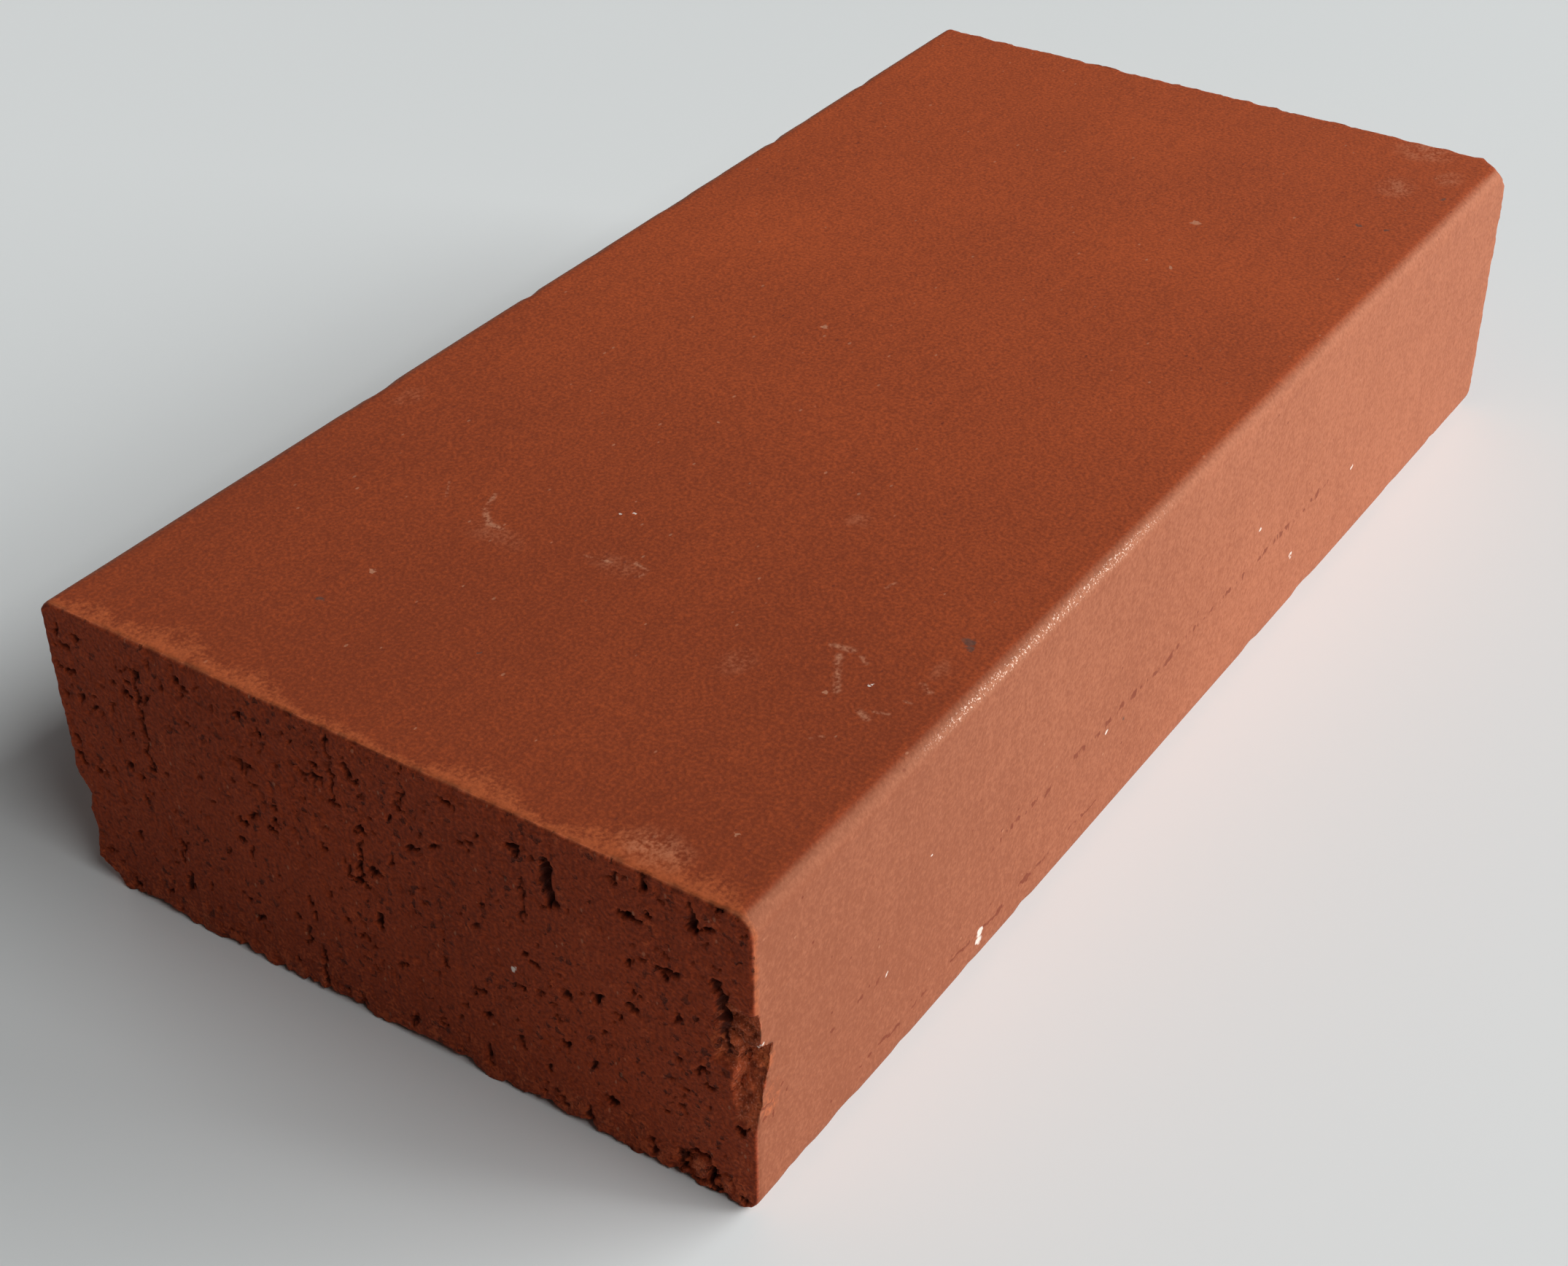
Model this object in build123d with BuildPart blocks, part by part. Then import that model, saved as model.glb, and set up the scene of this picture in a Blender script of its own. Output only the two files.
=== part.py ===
"""A solid clay paving brick: clay pressed through a die, cut to length by a wire, and fired.

+X runs along the length and +Z up from the bed that the brick lies on. The origin is at the
middle of that bed. The front is the -Y side, and the left end is the -X end.
"""

import os

from build123d import *

# Overall size after firing, in millimetres
length = 200.0
width = 98.5
height = 41.5

# Arrises along the length, each rounded by its own corner of the die
front_top_arris = 3.2
front_bottom_arris = 2.8
back_top_arris = 1.8
back_bottom_arris = 2.6

# Arrises round the two ends, where the wire cut through and the clay was only rubbed
wire_arris = 0.7
wire_arris_most_share = 0.6

# Notch and flake broken from the front arris of the left end: each has its run along the
# arris, its bite below it, and the share of the height at which it lies
notch_run = 7.0
notch_bite = 2.6
notch_height_share = 0.52
flake_run = 11.0
flake_bite = 1.7
flake_height_share = 0.42

# Long shallow flake off the back arris of the left end, and the broken corner under it
back_flake_run = 16.0
back_flake_bite = 1.3
back_flake_height_share = 0.22
foot_chip_run = 9.0
foot_chip_bite = 3.6

# Top front corner of the right end, worn to a small facet
worn_corner_depth = 2.6

# Stone that lies bare in a pocket of the left end, low down and near the front
pocket_across = 6.4
pocket_depth = 1.5
pocket_from_front = 7.2
pocket_height = 3.4
stone_across = 4.4
stone_seat_depth = 2.3


def ball_radius(run, bite):
    """Radius of the ball that bites this deep below a line, along this run of it."""
    return (run**2 / 4 + bite**2) / (2 * bite)


def knock_out(place, outward, run, bite):
    """Break a shell-shaped chip out of the arris or corner at place. Outward points off the clay."""
    radius = ball_radius(run, bite)
    with Locations(place + outward.normalized() * (radius - bite)):
        Sphere(radius, mode=Mode.SUBTRACT)


# The die's mouth: where each corner of the section lies, as signs of half the width and half
# the height from its middle, and how far that corner is rounded
die_arrises = {
    (-1, 1): front_top_arris,
    (-1, -1): front_bottom_arris,
    (1, 1): back_top_arris,
    (1, -1): back_bottom_arris,
}
end_arris = min(wire_arris, wire_arris_most_share * min(die_arrises.values()))

# Lines and corners that the damage lies on
left_end = -length / 2
right_end = length / 2
front = -width / 2
back = width / 2
left_front = Vector(-1, -1, 0)
left_back = Vector(-1, 1, 0)

with BuildPart() as brick:
    # The column of clay as it leaves the die, cut to length
    with BuildSketch(Plane.YZ.offset(left_end)) as section:
        with Locations((0, height / 2)):
            Rectangle(width, height)
        for (across, up), radius in die_arrises.items():
            corner = (across * width / 2, (1 + up) * height / 2)
            fillet(section.vertices().sort_by_distance(corner)[0], radius)
    extrude(amount=length)

    # The wire leaves both ends with a thin rubbed arris
    cut_faces = brick.faces().filter_by(Plane.YZ)
    fillet(cut_faces.edges(), end_arris)

    # Damage at the left end
    notch = Vector(left_end, front, notch_height_share * height)
    knock_out(notch, left_front, notch_run, notch_bite)
    flake = Vector(left_end, front, flake_height_share * height)
    knock_out(flake, left_front, flake_run, flake_bite)
    back_flake = Vector(left_end, back, back_flake_height_share * height)
    knock_out(back_flake, left_back, back_flake_run, back_flake_bite)
    foot = Vector(left_end, back, 0)
    knock_out(foot, left_back + Vector(0, 0, -1), foot_chip_run, foot_chip_bite)

    # The pocket is a dish in the end face, and the stone a ball seated in the middle of it
    pocket = Vector(left_end, front + pocket_from_front, pocket_height)
    knock_out(pocket, Vector(-1, 0, 0), pocket_across, pocket_depth)
    with Locations(pocket + Vector(stone_seat_depth, 0, 0)):
        Sphere(stone_across / 2)

    # The worn corner at the right end
    worn_away = Vector(1, -1, 1).normalized()
    corner = Vector(right_end, front, height)
    split(bisect_by=Plane(corner - worn_away * worn_corner_depth, z_dir=worn_away), keep=Keep.BOTTOM)

brick.part.label = "brick"

os.makedirs("parts", exist_ok=True)
export_step(brick.part, "parts/brick.step")
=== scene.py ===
"""Fired clay brick: the looks of one solid, wire-cut paving brick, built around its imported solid.

The brick is one closed surface. A rounded section is carried along the length, and each end is a
grid that shares its rim with that section. Relief is worked out in numpy, the finish in nodes.
"""

import itertools
import math

import bpy
import numpy as np
from mathutils import Matrix, Vector


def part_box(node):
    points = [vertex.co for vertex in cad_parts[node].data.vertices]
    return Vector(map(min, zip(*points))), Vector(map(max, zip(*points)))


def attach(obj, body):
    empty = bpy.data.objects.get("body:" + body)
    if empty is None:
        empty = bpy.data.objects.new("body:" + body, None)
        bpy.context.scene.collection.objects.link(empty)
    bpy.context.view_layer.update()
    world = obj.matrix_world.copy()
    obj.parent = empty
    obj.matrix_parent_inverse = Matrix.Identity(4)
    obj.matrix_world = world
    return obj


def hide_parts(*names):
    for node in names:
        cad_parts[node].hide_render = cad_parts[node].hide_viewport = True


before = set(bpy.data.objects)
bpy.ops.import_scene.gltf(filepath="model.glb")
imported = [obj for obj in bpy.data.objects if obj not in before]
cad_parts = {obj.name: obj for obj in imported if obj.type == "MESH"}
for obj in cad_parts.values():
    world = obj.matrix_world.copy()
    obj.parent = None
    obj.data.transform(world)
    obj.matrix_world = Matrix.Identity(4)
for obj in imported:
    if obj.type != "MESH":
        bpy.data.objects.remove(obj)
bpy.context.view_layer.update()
BRICK_LOW, BRICK_HIGH = (np.array(corner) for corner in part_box("brick"))

bl_info = {
    "name": "Fired clay brick",
    "version": (1, 0, 0),
    "blender": (4, 5, 0),
    "location": "View3D > Sidebar > Brick",
    "description": "Builds a wire-cut clay brick and the plain stage that it lies on",
    "category": "Object",
}

MM = 0.001
LENGTH, WIDTH, HEIGHT = BRICK_HIGH - BRICK_LOW
LEFT = -LENGTH / 2
RIGHT = LENGTH / 2
PHOTO_WIDTH = 2150
FLOOR_RADIUS = 6.0

# Primes that scatter the corners of a noise's boxes over its random numbers
CORNER_PRIMES = np.array((7919, 104729, 1299709))

# Wear of the front top arris: how much rounder it is at the left end, and how far that reaches
LEFT_WEAR = 0.5
LEFT_WEAR_REACH = 14 * MM

# Scales of the finish's own noises, in cells to the metre
RAGGED_SCALE = 1000.0
WAVER_SCALE = 260.0
STREAK_SCALE = 900.0
DOT_SCALE = 600.0
CLUSTER_SCALE = 150.0
GLINT_SCALE = 4200.0

# Bump of the finish, in millimetres
SKIN_BUMP = 0.10
ARRIS_BUMP = 0.3
CUT_BUMP = 0.5
SPECK_BUMP = 0.35

# All places and sizes in the tables below are in millimetres. On the left end a place is given as
# across (towards the back) and up.

# Slits that the wire dragged open down the left end: across, top, bottom, half width, depth
DRAG_SLITS = (
    (35.2, 37.6, 22.6, 0.22, 0.9),
    (5.8, 40.6, 31.0, 0.20, 0.8),
    (2.7, 28.0, 22.2, 0.20, 0.8),
    (11.1, 7.2, 1.2, 0.28, 0.9),
    (-23.5, 37.0, 33.9, 0.50, 2.0),
    (-24.0, 33.4, 31.4, 0.62, 2.2),
    (-20.0, 33.4, 28.2, 0.18, 0.6),
    (-41.8, 39.8, 36.9, 0.34, 1.4),
    (-13.0, 5.8, 2.4, 0.20, 0.7),
    (-27.3, 3.6, 0.0, 0.36, 1.3),
    (-35.6, 3.9, 1.6, 0.25, 1.0),
    (-39.4, 4.2, 2.0, 0.32, 1.1),
    (-2.2, 3.9, 1.8, 0.25, 0.9),
    (7.7, 2.6, 0.2, 0.22, 0.7),
    (6.0, 2.4, 0.6, 0.18, 0.6),
    (-44.9, 31.4, 26.0, 0.42, 1.6),
    (-45.3, 26.6, 21.6, 0.30, 1.2),
    (-35.9, 41.5, 39.4, 0.42, 1.3),
    (-4.4, 38.2, 35.4, 0.18, 0.7),
    (32.6, 13.8, 10.6, 0.20, 0.7),
    (32.3, 8.6, 5.6, 0.24, 0.8),
    (13.3, 10.2, 7.2, 0.22, 0.7),
)

# Pits torn out of the left end: across, up, half width, half height, depth
TORN_PITS = (
    (35.2, 36.8, 0.9, 0.7, 1.1), (36.6, 36.7, 1.0, 0.30, 0.7), (36.8, 35.2, 0.9, 0.30, 0.6),
    (37.0, 33.3, 0.9, 0.35, 0.7), (35.0, 28.9, 0.6, 0.5, 1.1), (35.0, 22.9, 0.7, 0.6, 1.3),
    (43.7, 38.2, 0.7, 0.6, 1.1), (47.1, 38.3, 0.5, 0.6, 0.9), (46.5, 36.3, 1.3, 0.35, 0.8),
    (46.2, 32.6, 1.6, 0.40, 0.9), (45.3, 28.9, 0.6, 0.5, 0.9), (47.9, 28.8, 0.5, 0.5, 0.8),
    (47.3, 19.0, 0.8, 0.5, 1.0), (44.8, 18.4, 0.5, 0.6, 0.9), (47.8, 22.3, 0.7, 0.5, 0.8),
    (36.1, 19.2, 0.6, 0.5, 0.8), (37.0, 17.6, 0.6, 0.5, 0.9), (27.3, 38.3, 0.7, 0.6, 1.0),
    (31.1, 36.5, 0.4, 0.6, 0.8), (33.6, 34.0, 0.5, 0.6, 0.8), (39.4, 34.0, 0.5, 0.4, 0.7),
    (27.5, 33.0, 1.0, 0.4, 0.7), (39.5, 11.0, 0.7, 0.6, 0.9), (45.5, 5.5, 0.8, 0.6, 0.9),
    (42.4, 2.4, 0.6, 0.8, 0.9), (36.0, 4.0, 0.5, 0.5, 0.8), (40.2, 25.0, 0.5, 0.5, 0.7),
    (39.0, 22.0, 0.5, 0.6, 0.7), (5.5, 30.9, 0.9, 0.5, 1.5), (2.8, 23.0, 0.7, 0.5, 1.2),
    (1.4, 23.5, 0.5, 0.45, 0.9), (3.6, 21.1, 1.1, 0.7, 1.6), (4.8, 22.1, 0.5, 0.5, 0.8),
    (19.0, 37.9, 0.5, 0.5, 0.8), (16.4, 36.2, 0.5, 0.8, 1.0), (8.4, 35.5, 0.6, 0.5, 1.0),
    (10.2, 33.7, 0.7, 0.5, 1.0), (8.0, 33.6, 0.8, 0.4, 0.9), (14.5, 32.7, 0.5, 0.5, 0.9),
    (18.9, 30.6, 0.8, 0.5, 0.9), (3.0, 37.0, 0.4, 0.9, 1.0), (2.7, 35.5, 0.6, 0.5, 1.1),
    (1.5, 34.1, 0.6, 0.45, 1.0), (2.3, 29.0, 0.8, 0.4, 0.9), (16.0, 24.7, 0.5, 0.7, 0.8),
    (8.4, 24.0, 0.6, 0.4, 0.8), (20.5, 21.7, 1.0, 0.8, 1.4), (19.3, 23.1, 0.5, 0.5, 0.9),
    (21.7, 18.6, 0.7, 0.5, 0.9), (20.2, 17.4, 0.5, 0.8, 1.0), (1.4, 16.1, 0.8, 0.8, 1.3),
    (11.4, 12.3, 0.6, 0.6, 1.2), (12.0, 14.0, 0.6, 0.9, 0.9), (6.2, 14.0, 0.5, 0.4, 0.8),
    (4.5, 12.8, 0.7, 0.5, 1.0), (3.4, 12.3, 0.5, 0.4, 0.8), (14.5, 10.5, 0.6, 0.5, 0.9),
    (22.2, 9.2, 0.5, 0.7, 0.9), (21.0, 6.9, 1.0, 0.4, 0.8), (-3.8, 34.6, 0.7, 0.7, 1.4),
    (-8.0, 31.5, 0.6, 0.6, 1.2), (-4.7, 30.0, 1.1, 0.4, 0.9), (-1.8, 26.6, 0.4, 0.7, 1.0),
    (-2.2, 32.8, 0.6, 0.4, 0.8), (-10.2, 38.8, 0.6, 0.6, 0.9), (-13.7, 35.0, 0.6, 0.5, 0.9),
    (-11.9, 34.1, 0.6, 0.35, 0.9), (-19.3, 36.5, 1.1, 0.5, 1.3), (-20.1, 28.1, 0.5, 0.6, 1.0),
    (-20.0, 22.4, 0.5, 0.5, 0.9), (-21.2, 21.4, 0.6, 0.4, 0.8), (-11.0, 23.8, 0.5, 0.6, 0.9),
    (-19.0, 17.0, 0.9, 0.5, 1.2), (-21.4, 17.5, 0.5, 0.4, 0.8), (-8.2, 15.7, 0.4, 0.7, 1.0),
    (-13.2, 13.2, 0.9, 0.4, 1.0), (-1.8, 11.5, 0.6, 0.4, 0.8), (-13.6, 10.3, 0.5, 0.5, 0.9),
    (-18.3, 8.7, 0.6, 0.8, 1.1), (-24.4, 11.8, 0.5, 1.0, 1.1), (-21.9, 6.6, 0.6, 0.6, 1.0),
    (-23.8, 14.8, 0.5, 0.5, 0.8), (-25.2, 19.2, 0.6, 0.6, 0.9), (-34.0, 34.7, 1.1, 0.9, 2.0),
    (-36.3, 36.0, 0.7, 0.45, 1.0), (-43.5, 37.7, 0.8, 0.6, 1.3), (-38.7, 29.4, 1.1, 0.5, 1.5),
    (-33.5, 28.5, 0.35, 0.7, 0.9), (-40.0, 24.0, 0.5, 0.7, 1.1), (-29.5, 20.6, 0.5, 0.9, 1.0),
    (-30.2, 16.3, 0.6, 0.5, 0.9), (-32.2, 39.4, 0.5, 0.8, 0.9), (-28.4, 10.8, 0.7, 0.6, 1.0),
    (-30.3, 6.5, 0.7, 1.0, 1.3), (-42.5, 18.3, 0.8, 0.6, 1.2), (-43.3, 16.0, 0.6, 0.6, 1.1),
    (-43.0, 13.4, 0.4, 0.7, 1.0), (-47.5, 11.8, 1.1, 0.4, 1.1), (-40.2, 10.9, 0.5, 0.4, 0.8),
    (-38.0, 8.8, 0.4, 0.5, 0.8), (-33.7, 22.3, 0.8, 0.4, 0.8), (-45.3, 41.0, 0.6, 0.9, 1.0),
    (-43.6, 3.2, 0.6, 1.6, 1.9), (-41.8, 5.1, 1.2, 0.5, 1.4), (-40.2, 3.9, 0.5, 0.9, 1.2),
    (-39.3, 1.9, 0.6, 0.7, 1.0), (-44.0, 1.0, 0.8, 0.6, 1.1), (-41.4, 0.9, 0.7, 0.4, 0.8),
)

# Pits and slits strewn by rule: how many there are and, for pits, half the size of the largest
LEFT_SMALL_PITS = (700, 0.42)
RIGHT_LARGE_PITS = (90, 1.0)
RIGHT_SMALL_PITS = (500, 0.5)
RIGHT_SLIT_COUNT = 22

# Where along the front top arris the rubbing, with its painted highlight and glints, sets in, and where it
# dies away
RUB_STARTS = (-78, -56)
RUB_ENDS = (2, -26)

# Stones that stand in pockets of the left end, each with a gap round it: across, up, half width,
# half height, how far it stands out of its pocket
BARE_STONES = (
    (-41.9, 3.0, 1.4, 1.7, 1.0),
    (-45.2, 2.2, 0.9, 1.1, 0.6),
)

# Lumps left standing where the clay split away, in the same order
SPLIT_LUMPS = (
    (-46.4, 28.4, 1.2, 1.2, 0.9),
    (-47.2, 26.0, 1.4, 0.9, 0.8),
    (-45.6, 23.6, 0.9, 1.0, 0.6),
    (-48.3, 20.6, 1.0, 0.8, 0.5),
    (-47.6, 17.4, 0.9, 1.0, 0.5),
)

# Clay split away from the front arris of the left end: inner edge across, bottom, top, depth at the
# bottom, depth at the top
FRONT_SPLITS = (
    (-46.6, 12.5, 23.6, 0.0, 3.1),
    (-44.6, 20.4, 28.8, 0.9, 1.0),
    (-48.3, 23.6, 28.8, 1.2, 0.4),
)

# Shell-shaped breaks at the back of the left end: across, up, run along the arris, bite, way out
BACK_BREAKS = (
    (49.25, 13.4, 6.0, 1.6, (-1, 1, 0)),
    (49.25, 9.1, 16.0, 1.2, (-1, 1, 0)),
    (49.25, 0.0, 9.0, 3.6, (-1, 1, -1)),
)

# Burr that the wire pressed over onto the top at the left end: across, half width, reach along
TOP_BURRS = (
    (42.0, 5.0, 3.5),
    (30.0, 6.0, 6.0),
    (18.0, 5.0, 4.5),
    (4.0, 6.0, 1.5),
    (-14.0, 6.0, 5.0),
    (-34.0, 7.0, 7.0),
    (-44.0, 3.0, 3.5),
)

# Lime specks: along, across, up, half size
LIME_SPECKS = (
    (-54.4, -49.2, 5.4, 0.65), (-54.6, -49.2, 4.3, 0.55), (50.0, -49.2, 14.5, 0.35),
    (30.0, -49.2, 10.5, 0.4), (18.0, -49.2, 21.5, 0.25), (-75.0, -49.2, 15.2, 0.25),
    (-24.5, -49.2, 15.0, 0.28), (-66.0, -49.2, 25.3, 0.2), (-99.8, -17.9, 19.3, 0.4),
    (-99.6, 47.5, 17.3, 0.35), (-98.8, -49.0, 24.3, 0.3), (-62.0, -38.3, 41.5, 0.22),
    (-61.6, -38.7, 41.5, 0.22), (-49.7, 4.5, 41.5, 0.22), (-48.6, 3.2, 41.5, 0.18),
)

# Bright clay beside the splits: along, across, up, and its half sizes in that order. The last two are clay
# rubbed bare on the front; the first lightens the lit riser of a split, which is painted light.
RUBBED_AND_LIT_CLAY = (
    (-99.6, -44.4, 23.0, 1.6, 0.7, 2.6),
    (-97.8, -49.0, 21.4, 1.8, 1.4, 1.6),
    (-97.6, -49.2, 15.4, 2.2, 1.0, 2.8),
)

# Short cracks in the front beside the splits, in the same order
SPLIT_CRACKS = (
    (-98.4, -49.2, 15.2, 1.2, 1.0, 0.25),
    (-97.0, -49.2, 13.0, 0.25, 1.0, 0.6),
    (-98.6, -49.2, 13.6, 0.4, 1.0, 0.3),
    (-95.2, -49.2, 16.0, 0.3, 1.0, 0.25),
    (-94.5, -49.2, 14.5, 0.25, 1.0, 0.25),
)

# Tan grains in the top: along, across, up, half size
TAN_GRAINS = (
    (56.9, -18.6, 41.5, 0.7), (42.4, -21.8, 41.5, 0.4), (2.2, 9.2, 41.5, 0.5), (-25.9, 6.8, 41.5, 0.35),
    (-74.8, 21.3, 41.5, 0.3), (-90.0, -40.5, 41.5, 0.3), (-65.7, -35.0, 41.5, 0.3),
)

# Dark stones in the skin: along, across, up, half size
DARK_STONES = (
    (-49.3, -43.4, 41.5, 0.8), (-50.3, -44.0, 41.5, 0.5), (-82.3, 22.4, 41.5, 0.45), (-80.2, 0.7, 41.5, 0.3),
    (-20.0, -49.2, 14.4, 0.4), (68.8, -38.5, 41.5, 0.5), (69.4, -42.4, 41.5, 0.4), (83.4, -45.4, 41.5, 0.4),
)

# Faint scuffs on the top: along, across, half length, half width
TOP_SCUFFS = (
    (-66.3, -24.0, 3.0, 2.0), (-58.5, -1.8, 2.0, 4.5), (-42.2, 43.7, 3.0, 2.0), (-35.4, -19.9, 2.0, 2.0),
    (-61.0, 14.0, 2.4, 5.0), (-55.5, -43.5, 2.4, 1.2),
)

# Pale dust rubbed into the top near two corners, in the same order
TOP_DUST = (
    (-96.0, -35.0, 3.0, 4.5), (97.0, -37.0, 4.0, 5.0), (90.0, -43.5, 3.0, 2.2), (83.5, -38.0, 4.0, 3.2),
)

# Pale scratches on the top: from along, from across, to along, to across, half width
TOP_SCRATCHES = (
    (-59.2, -32.7, -64.8, -36.0, 0.45),
    (-58.0, -31.2, -57.6, -33.6, 0.45),
    (-58.1, -35.0, -58.8, -36.0, 0.30),
    (-66.4, -39.9, -67.1, -41.3, 0.40),
    (-65.7, -41.3, -65.2, -42.8, 0.25),
    (-62.4, -43.0, -62.3, -44.0, 0.18),
    (-73.2, -38.2, -72.3, -39.1, 0.30),
    (-58.8, -43.1, -59.5, -44.5, 0.40),
    (-45.5, -30.2, -43.9, -30.6, 0.20),
    (-54.3, 19.7, -57.2, 18.9, 0.30),
    (-57.2, 18.9, -59.8, 16.2, 0.45),
    (-59.8, 16.2, -59.8, 14.4, 0.40),
    (-55.2, 26.2, -57.9, 24.4, 0.18),
    (-58.9, 2.6, -58.3, -0.8, 0.22),
    (-56.9, -3.3, -57.4, -5.4, 0.30),
    (-57.4, -5.4, -59.0, -5.1, 0.35),
)

# Rows of dots where the die tore the front: from, to, height, half width
TORN_ROWS = (
    (-56.0, 46.0, 16.5, 0.30),
    (-91.0, -74.0, 15.6, 0.26),
    (-84.0, -22.0, 5.6, 0.16),
)


def smooth(low, high, value):
    """S-curve from 0 at low to 1 at high: three times the square less twice the cube of the share."""
    share = np.clip((value - low) / (high - low), 0.0, 1.0)
    return share * share * (3.0 - 2.0 * share)


def lattice_noise(points, cell, seed):
    """Noise from -1 to 1: random numbers at the corners of boxes of this size, blended by S-curves."""
    table = np.random.default_rng(seed).uniform(-1.0, 1.0, 8192)
    scaled = points / np.asarray(cell)
    low = np.floor(scaled)
    share = scaled - low
    share = share * share * (3.0 - 2.0 * share)
    low = low.astype(np.int64)
    total = np.zeros(len(points))
    for corner in itertools.product((0, 1), repeat=3):
        index = (low + np.array(corner)) @ CORNER_PRIMES % len(table)
        weight = np.where(corner, share, 1.0 - share).prod(axis=1)
        total += table[index] * weight
    return total


def rough_noise(points, cell, octaves, seed):
    """Sum of noises, each with half the cell and half the height of the one before."""
    cell = np.asarray(cell, float)
    layers = (lattice_noise(points, cell / 2**k, seed + k) / 2**k for k in range(octaves))
    return sum(layers)


def section_lines(span, arris_band, arris_cells, open_cells):
    """Places from 0 to span: even steps in a band at each side, and even steps between the bands."""
    low = np.linspace(0.0, arris_band, arris_cells + 1)
    middle = np.linspace(arris_band, span - arris_band, open_cells + 1)
    high = np.linspace(span - arris_band, span, arris_cells + 1)
    return np.concatenate([low, middle[1:], high[1:]])


def finer(lines, times):
    """Each step between two lines cut into this many equal steps."""
    count = (len(lines) - 1) * times
    return np.interp(np.arange(count + 1) / times, np.arange(len(lines)), lines)


def rim_order(across, up):
    """Index of each rim point of an across by up grid, once round from its lowest corner."""
    index = np.arange(across * up).reshape(across, up)
    return np.concatenate([index[:-1, 0], index[-1, :-1], index[:0:-1, -1], index[0, :0:-1]])


def die_arrises(shape, x):
    """Sign of y, sign of z and radius of each long arris; the front top one is worn rounder at the left."""
    worn = 1.0 + LEFT_WEAR * np.exp((LEFT - x) / LEFT_WEAR_REACH)
    return (
        (-1, 1, shape.front_top_arris * worn),
        (-1, -1, shape.front_bottom_arris),
        (1, 1, shape.back_top_arris),
        (1, -1, shape.back_bottom_arris),
    )


def rounded_section(x, y, z, shape):
    """Squeeze the sharp section's corners round the arrises.

    In the square at a corner a point keeps its way from the arris's centre, and the larger of its
    two offsets becomes its distance from there. Gives the new y and z, the depth under the outline,
    and the outline's normal.
    """
    side = WIDTH / 2 - np.abs(y)
    bed = np.minimum(z, HEIGHT - z)
    depth = np.minimum(side, bed)
    across = np.where(side <= bed, np.sign(y), 0.0)
    upward = np.where(side <= bed, 0.0, np.sign(z - HEIGHT / 2))
    for sign_y, sign_z, radius in die_arrises(shape, x):
        centre_y = sign_y * (WIDTH / 2 - radius)
        centre_z = HEIGHT / 2 + sign_z * (HEIGHT / 2 - radius)
        over_y = sign_y * (y - centre_y)
        over_z = sign_z * (z - centre_z)
        inside = (over_y > 0) & (over_z > 0)
        reach = np.maximum(np.hypot(over_y, over_z), 1e-9)
        squeeze = np.where(inside, np.maximum(over_y, over_z) / reach, 1.0)
        y = np.where(inside, centre_y + sign_y * over_y * squeeze, y)
        z = np.where(inside, centre_z + sign_z * over_z * squeeze, z)
        depth = np.where(inside, radius - reach * squeeze, depth)
        across = np.where(inside, sign_y * over_y / reach, across)
        upward = np.where(inside, sign_z * over_z / reach, upward)
    return y, z, depth, across, upward


def brick_grid(shape):
    """Points of the sharp brick, and the faces that join them.

    The rows along the length share their columns with the rims of the two end grids. An end's own
    rows are finer by a whole number, and a ring of faces with one extra corner for each finer step
    joins them to the plain rows. Gives the points, which of them are on an end, and the faces.
    """
    lines_y = section_lines(WIDTH, shape.arris_band, shape.arris_cells, shape.open_cells_across)
    lines_z = section_lines(HEIGHT, shape.arris_band, shape.arris_cells, shape.open_cells_up)
    places = []
    on_end = []
    faces = []

    def add(x, y, z, end):
        """Add points at one x; gives their indices."""
        first = sum(len(part) for part in places)
        places.append(np.stack([np.full(y.size, x), y.ravel(), z.ravel()], axis=1))
        on_end.append(np.full(y.size, end))
        return first + np.arange(y.size)

    def grid_of(times):
        """The section's lines, each step cut into this many, as two grids and the order of their rim."""
        y = finer(lines_y, times) - WIDTH / 2
        z = finer(lines_z, times)
        return *np.meshgrid(y, z, indexing="ij"), rim_order(len(y), len(z))

    def end_grid(x, times):
        """The grid over one end, facing away from the middle; gives the indices round its rim."""
        y, z, rim = grid_of(times)
        index = add(x, y, z, True).reshape(y.shape)
        corners = (index[:-1, :-1], index[1:, :-1], index[1:, 1:], index[:-1, 1:])
        quads = np.stack(corners, axis=-1).reshape(-1, 4)
        faces.extend((quads if x > 0 else quads[:, ::-1]).tolist())
        return index.ravel()[rim]

    def row(x, times):
        """One row round the section; gives its indices."""
        y, z, rim = grid_of(times)
        return add(x, y.ravel()[rim], z.ravel()[rim], False)

    def band(low_row, high_row):
        """Quads between two rows of the same count, facing outwards."""
        quads = np.stack([low_row, np.roll(low_row, -1), np.roll(high_row, -1), high_row], axis=1)
        faces.extend(quads.tolist())

    def step_ring(fine_row, plain_row, times, fine_is_low):
        """Faces from a fine row to a plain one: each takes one plain step and several fine steps."""
        spans = np.stack([np.roll(fine_row, -k)[::times] for k in range(times + 1)], axis=1)
        ring = np.concatenate([spans, np.stack([np.roll(plain_row, -1), plain_row], axis=1)], axis=1)
        faces.extend((ring if fine_is_low else ring[:, ::-1]).tolist())

    def skirt(x, times):
        """The finer rows beside an end, joined to its grid; gives the last of them."""
        share = np.arange(1, shape.skirt_rows + 1) / shape.skirt_rows
        inwards = -np.sign(x)
        last = end_grid(x, times)
        for distance in shape.skirt * (0.45 * share + 0.55 * share**2):
            current = row(x + inwards * distance, times)
            band(*((last, current) if inwards > 0 else (current, last)))
            last = current
        return last

    left_skirt = skirt(LEFT, shape.left_fineness)
    right_skirt = skirt(RIGHT, shape.right_fineness)
    inner = RIGHT - shape.skirt - shape.ring_step
    rows = [row(x, 1) for x in np.linspace(-inner, inner, shape.plain_rows)]
    step_ring(left_skirt, rows[0], shape.left_fineness, True)
    for low_row, high_row in itertools.pairwise(rows):
        band(low_row, high_row)
    step_ring(right_skirt, rows[-1], shape.right_fineness, False)
    return np.concatenate(places), np.concatenate(on_end), faces


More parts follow.
